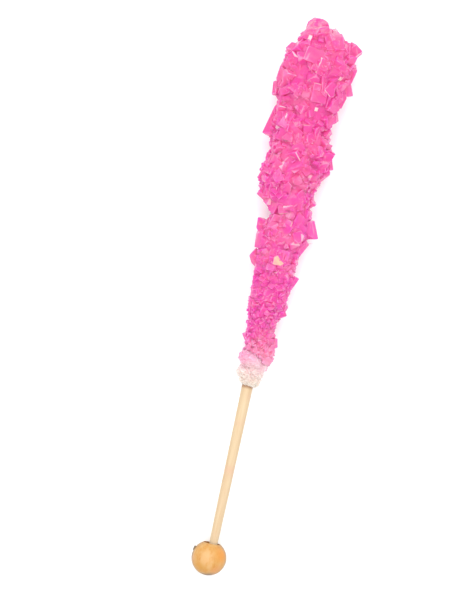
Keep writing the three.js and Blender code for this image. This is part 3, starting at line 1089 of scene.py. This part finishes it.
# %% The fine sugar of the collar
SYRUP_SPOT, SYRUP_REACH = (-4.5, -19.5, 9.5), 4.2
fine_sugar, frost = new_material("fine_sugar")
place = place_on(fine_sugar)
uneven = math_node(fine_sugar, "ADD", coordinate(fine_sugar, place, "Y"),
                   math_node(fine_sugar, "MULTIPLY", noise(fine_sugar, place, 300), 0.004))
crept = add_node(fine_sugar, "ShaderNodeMapRange", {
    "Value": uneven, "From Min": -0.0255, "From Max": -0.0165,
}).outputs["Result"]
collar_colour = colour_ramp(fine_sugar, crept, [
    (0.0, (216, 200, 187)),
    (0.35, (218, 196, 189)),
    (0.6, (222, 188, 192)),
    (0.8, (224, 181, 193)),
    (1.0, (226, 160, 187)),
])
syrupy = math_node(fine_sugar, "MULTIPLY", nearness(fine_sugar, place, SYRUP_SPOT, SYRUP_REACH), 0.75)
collar_colour = mixed(fine_sugar, syrupy, collar_colour, linear(228, 120, 166))
bumped(fine_sugar, frost, noise(fine_sugar, place, 2500, 3), 0.0001, 0.6)
dress(collar, fine_sugar, frost, collar_colour, {
    "Roughness": 0.35,
    "IOR": 1.5,
    "Specular IOR Level": 0.3,
    "Subsurface Weight": 0.8,
    "Subsurface Radius": (1.0, 0.8, 0.75),
    "Subsurface Scale": 0.003,
})

# %% [markdown]
# ### Birch
#
# The stick is bare birch: cream, with fine streaks along it, slightly pinker in places, and stained
# brown in a thin line where it goes into the sugar.

# %% The birch of the stick
birch, bare_wood = new_material("birch")
place = place_on(birch)
stretched = add_node(birch, "ShaderNodeMapping", {"Vector": place, "Scale": (1.0, 0.035, 1.0)})
streaks = noise(birch, stretched.outputs["Vector"], 1800, 4, 0.6)
cloud = noise(birch, place, 120, 2)
birch_colour = colour_ramp(birch, streaks, [
    (0.25, (190, 158, 120)),
    (0.45, (197, 172, 137)),
    (0.62, (201, 178, 143)),
    (0.8, (205, 183, 152)),
])
birch_colour = mixed(birch, share_between(birch, cloud, 0.5, 0.8), birch_colour, linear(199, 165, 137))
stained = share_between(birch, coordinate(birch, place, "Y"), -0.0292, -0.0281)
stained = math_node(birch, "MULTIPLY", stained, 0.75)
birch_colour = mixed(birch, stained, birch_colour, linear(135, 86, 53))
bumped(birch, bare_wood, streaks, 0.00008, 0.6)
dress(stick, birch, bare_wood, birch_colour, {"Roughness": 0.62})

# %% [markdown]
# ### Waxed wood
#
# The ball is the same kind of wood, waxed: golden, with soft patches where the rings run out at its
# surface. Those of the shown side have their places, and three dark ones low at the rim are painted shade.
# It's painted greyer low down as shade, painted dark brown as shade in the drilled dish, and grey on the
# splinter at its side.

# %% The waxed wood of the ball
waxed_wood, wax = new_material("waxed_wood")
place = place_on(waxed_wood)
ball_middle = 0.5 * (ball_low + ball_high)
centred = add_node(waxed_wood, "ShaderNodeMapping", {
    "Vector": place, "Location": tuple(-c for c in ball_middle),
}).outputs["Vector"]
along_grain = add_node(waxed_wood, "ShaderNodeMapping", {
    "Vector": centred, "Rotation": (0.3, 0.5, 0.4), "Scale": (1.0, 0.45, 1.0),
}).outputs["Vector"]
patches = noise(waxed_wood, along_grain, 520, 4, 0.65)
ball_colour = colour_ramp(waxed_wood, patches, [
    (0.3, (184, 126, 58)),
    (0.45, (194, 142, 74)),
    (0.56, (196, 152, 90)),
    (0.7, (202, 160, 104)),
])
print("waxed wood has", len(waxed_wood.node_tree.nodes), "nodes so far")

# %% [markdown]
# Each spot is a place from the ball's middle in mm, a reach, a colour and a strength.

# %% Patches, and painted shade at the rim, with their places
SPOTS = [
    ((-1.0, 0.4, 5.3), 4.2, (204, 160, 108), 0.7),
    ((3.7, 2.3, 3.0), 3.8, (206, 134, 54), 0.8),
    ((-2.6, -3.0, 3.6), 3.2, (190, 136, 58), 0.8),
    ((2.8, -2.6, 3.7), 2.8, (202, 140, 84), 0.8),
    ((-4.8, -0.4, 1.8), 2.2, (206, 160, 118), 0.9),
    # The last three spots, dark and low at the rim, are painted shade, not wood.
    ((1.1, -5.5, 0.7), 4.0, (112, 88, 66), 1.0),
    ((-5.4, 0.6, 0.3), 2.0, (128, 112, 92), 0.9),
    ((3.3, 4.2, 0.2), 1.6, (140, 118, 84), 0.8),
]
broken = share_between(waxed_wood, patches, 0.25, 0.65)
SPOT_GAIN = 1.6
for middle, reach, colour, strength in SPOTS:
    near = math_node(waxed_wood, "MULTIPLY", nearness(waxed_wood, centred, middle, reach), broken)
    near = math_node(waxed_wood, "MULTIPLY", near, SPOT_GAIN * strength)
    near = math_node(waxed_wood, "MINIMUM", near, strength)
    ball_colour = mixed(waxed_wood, near, ball_colour, linear(*colour))
height = coordinate(waxed_wood, centred, "Z")
# Painted shade: the ball is painted greyer below its middle, most at the rim.
shade_low_down = math_node(waxed_wood, "MULTIPLY", share_between(waxed_wood, height, 0.003, 0.0), 0.75)
ball_colour = mixed(waxed_wood, shade_low_down, ball_colour, linear(140, 112, 78))
# Painted shade: the drilled dish and hole are painted dark brown.
ball_colour = mixed(waxed_wood, mark_on(waxed_wood, "shaded_bore"), ball_colour, linear(146, 96, 38))
ball_colour = mixed(waxed_wood, mark_on(waxed_wood, "torn"), ball_colour, linear(122, 108, 92))
bumped(waxed_wood, wax, patches, 0.00006, 0.5)
dress(ball, waxed_wood, wax, ball_colour, {
    "Roughness": 0.5,
    "Specular IOR Level": 0.3,
    "Coat Weight": 0.05,
    "Coat Roughness": 0.3,
})

# %% [markdown]
# ## Table, light and camera
#
# The sweet lies on a plain white table, wide enough that its end never shows.

# %% Table
TABLE_SIZE = 3
table_shape = bmesh.new()
bmesh.ops.create_grid(table_shape, x_segments=1, y_segments=1, size=TABLE_SIZE)
table = as_object(table_shape, "table")
table_paint, paint = new_material("table_paint")
clouds = noise(table_paint, place_on(table_paint), 6)
table_colour = colour_ramp(table_paint, clouds, [(0.3, (250, 250, 250)), (0.7, (252, 252, 252))])
dress(table, table_paint, paint, table_colour, {"Roughness": 0.7})

# %% [markdown]
# The light is soft and comes from nearly everywhere, as under a photographer's tent: an even white
# sky and six large lamps on a ring overhead. Five of them hang towards the tip and one towards the
# ball, so that the facets still differ a little from side to side.

# %% Light
SKY_STRENGTH = 0.92
world = bpy.data.worlds.new("studio")
bpy.context.scene.world = world
world.use_nodes = True
world.node_tree.nodes["Background"].inputs["Color"].default_value = (1, 1, 1, 1)
world.node_tree.nodes["Background"].inputs["Strength"].default_value = SKY_STRENGTH
LAMP_SIZE, LAMP_POWER = 0.3, 1.24
LAMP_TURNS = (10, 50, 90, 130, 170, 250)
LAMP_RING, LAMP_HEIGHT = 0.35, 0.85
LAMP_AIM = Vector((0, 0.03, 0))


def softbox(turn):
    """Hangs a square lamp on the ring, at a turn in degrees, that shines at the candy's middle."""
    lamp = bpy.data.lights.new(f"softbox_{turn}", "AREA")
    lamp.shape = "SQUARE"
    lamp.size = LAMP_SIZE
    lamp.energy = LAMP_POWER
    made = bpy.data.objects.new(lamp.name, lamp)
    turned = math.radians(turn)
    made.location = LAMP_AIM + Vector((
        LAMP_RING * math.cos(turned), LAMP_RING * math.sin(turned), LAMP_HEIGHT,
    ))
    made.rotation_euler = (LAMP_AIM - made.location).to_track_quat("-Z", "Y").to_euler()
    bpy.context.scene.collection.objects.link(made)


for turn in LAMP_TURNS:
    softbox(turn)
print(len(LAMP_TURNS), "lamps of", LAMP_POWER, "W")
bpy.context.scene.view_settings.view_transform = "Standard"

# %% [markdown]
# The sweet is looked at from straight above through a long lens, turned so that it leans to the
# right. The lens hangs over the picture's middle, so it sees the ball a little from the candy's side,
# and the edge of the dish shows.

# %% Camera
PHOTO_SIZE = (456, 608)
BALL_PIXEL, BALL_AIM_HEIGHT = (208.8, 558.9), 2.5
MM_PER_PIXEL = 0.312
STICK_LEAN = math.radians(12.2)
LENS, SENSOR = 150, 36
to_right = Vector((math.cos(STICK_LEAN), math.sin(STICK_LEAN), 0))
to_top = Vector((-math.sin(STICK_LEAN), math.cos(STICK_LEAN), 0))
scale = 0.001 * MM_PER_PIXEL
aim = (MM @ stick_to_table @ Vector((BALL_OFF_CENTRE, BALL_CENTRE_ALONG, BALL_AIM_HEIGHT))
       + to_right * (PHOTO_SIZE[0] / 2 - BALL_PIXEL[0]) * scale
       + to_top * (BALL_PIXEL[1] - PHOTO_SIZE[1] / 2) * scale)
lens = bpy.data.cameras.new("camera")
lens.lens, lens.sensor_width = LENS, SENSOR
lens.clip_start, lens.clip_end = 0.01, 20
camera = bpy.data.objects.new("camera", lens)
camera.location = aim + Vector((0, 0, PHOTO_SIZE[1] * scale * LENS / SENSOR))
camera.rotation_euler = (0, 0, STICK_LEAN)
bpy.context.scene.collection.objects.link(camera)
bpy.context.scene.camera = camera
print("camera", [round(c, 3) for c in camera.location])
